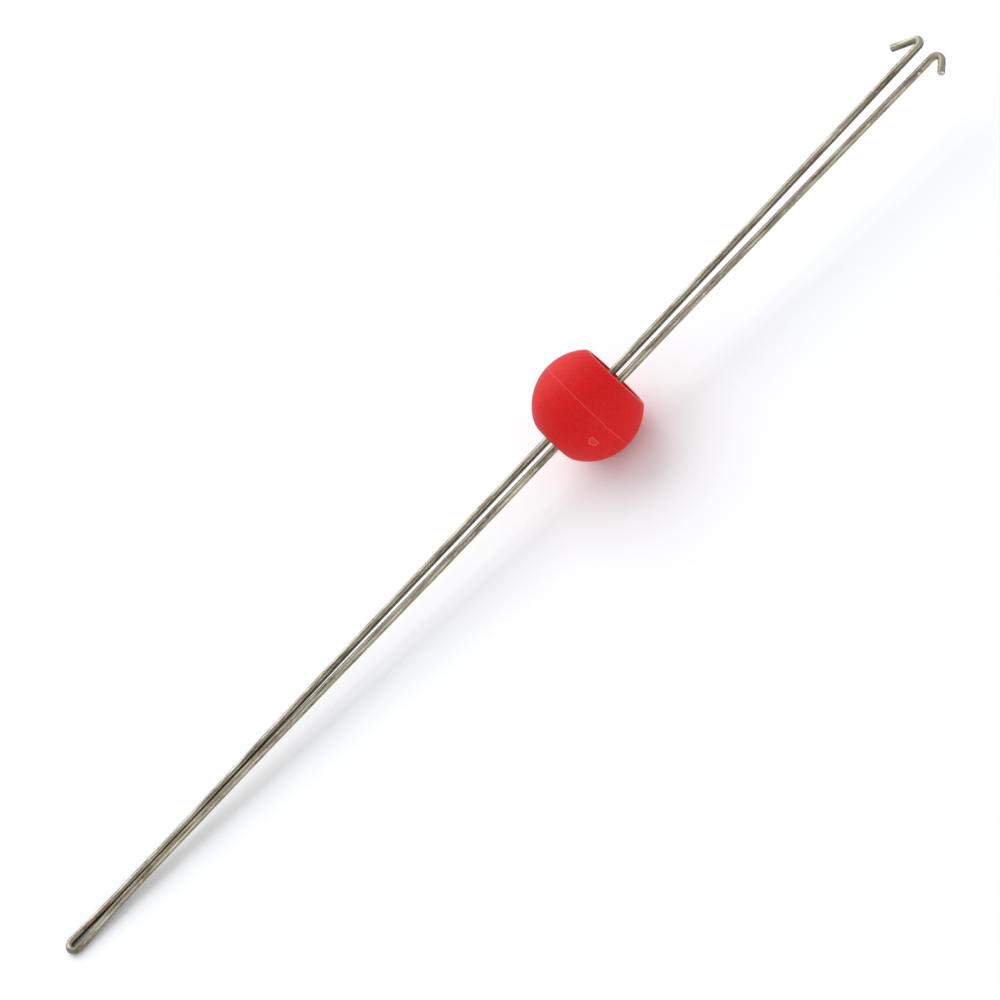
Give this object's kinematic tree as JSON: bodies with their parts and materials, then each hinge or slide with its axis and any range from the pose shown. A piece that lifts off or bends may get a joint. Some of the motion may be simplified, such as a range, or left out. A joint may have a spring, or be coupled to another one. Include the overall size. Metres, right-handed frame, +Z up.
{
  "type": "cable needle",
  "caption": "Hairpin of springy wire with an outward, backward-pointing hook on each leg, and a cup-shaped ball that slides along the legs to pinch them together.",
  "frame": {"origin": "on the surface that the needle lies on, under the middle of its length", "axes": "+X from the closed bend towards the hooks, along the surface; +Y towards the left leg; +Z up, and within 4 degrees of the hairpin's own normal, because the needle lies on its ball and its bend"},
  "size_m": [0.223, 0.02, 0.02],
  "materials": {
    "spring_wire": "bright drawn spring wire with a faint warm stain and lengthwise drawing marks",
    "red_plastic": "satin moulded plastic with a fine spark-eroded texture"
  },
  "bodies": {
    "bend": {"wire_bend": "spring_wire"},
    "left_leg": {"left_leg": "spring_wire"},
    "right_leg": {"right_leg": "spring_wire"},
    "bead": {"bead": "red_plastic"}
  },
  "joints": [
    {"name": "bead_slide", "type": "slide", "parent": "bend", "child": "bead", "axis": [0.9976, 0, 0.0694], "range_m": [-0.112, 0.0755]},
    {"name": "left_leg_flex", "type": "hinge", "parent": "bend", "child": "left_leg", "pos_m": [-0.08858, 0.00077, 0.00225], "axis": [-0.0694, 0, 0.9976], "range_deg": [-0.218, 0.322]},
    {"name": "right_leg_flex", "type": "hinge", "parent": "bend", "child": "right_leg", "pos_m": [-0.08858, -0.00069, 0.00225], "axis": [-0.0694, 0, 0.9976], "range_deg": [-0.322, 0.218]}
  ],
  "couplings": [
    {"joint": "left_leg_flex", "follows": "bead_slide", "rad_per_m": -0.05},
    {"joint": "right_leg_flex", "follows": "bead_slide", "rad_per_m": 0.05}
  ]
}
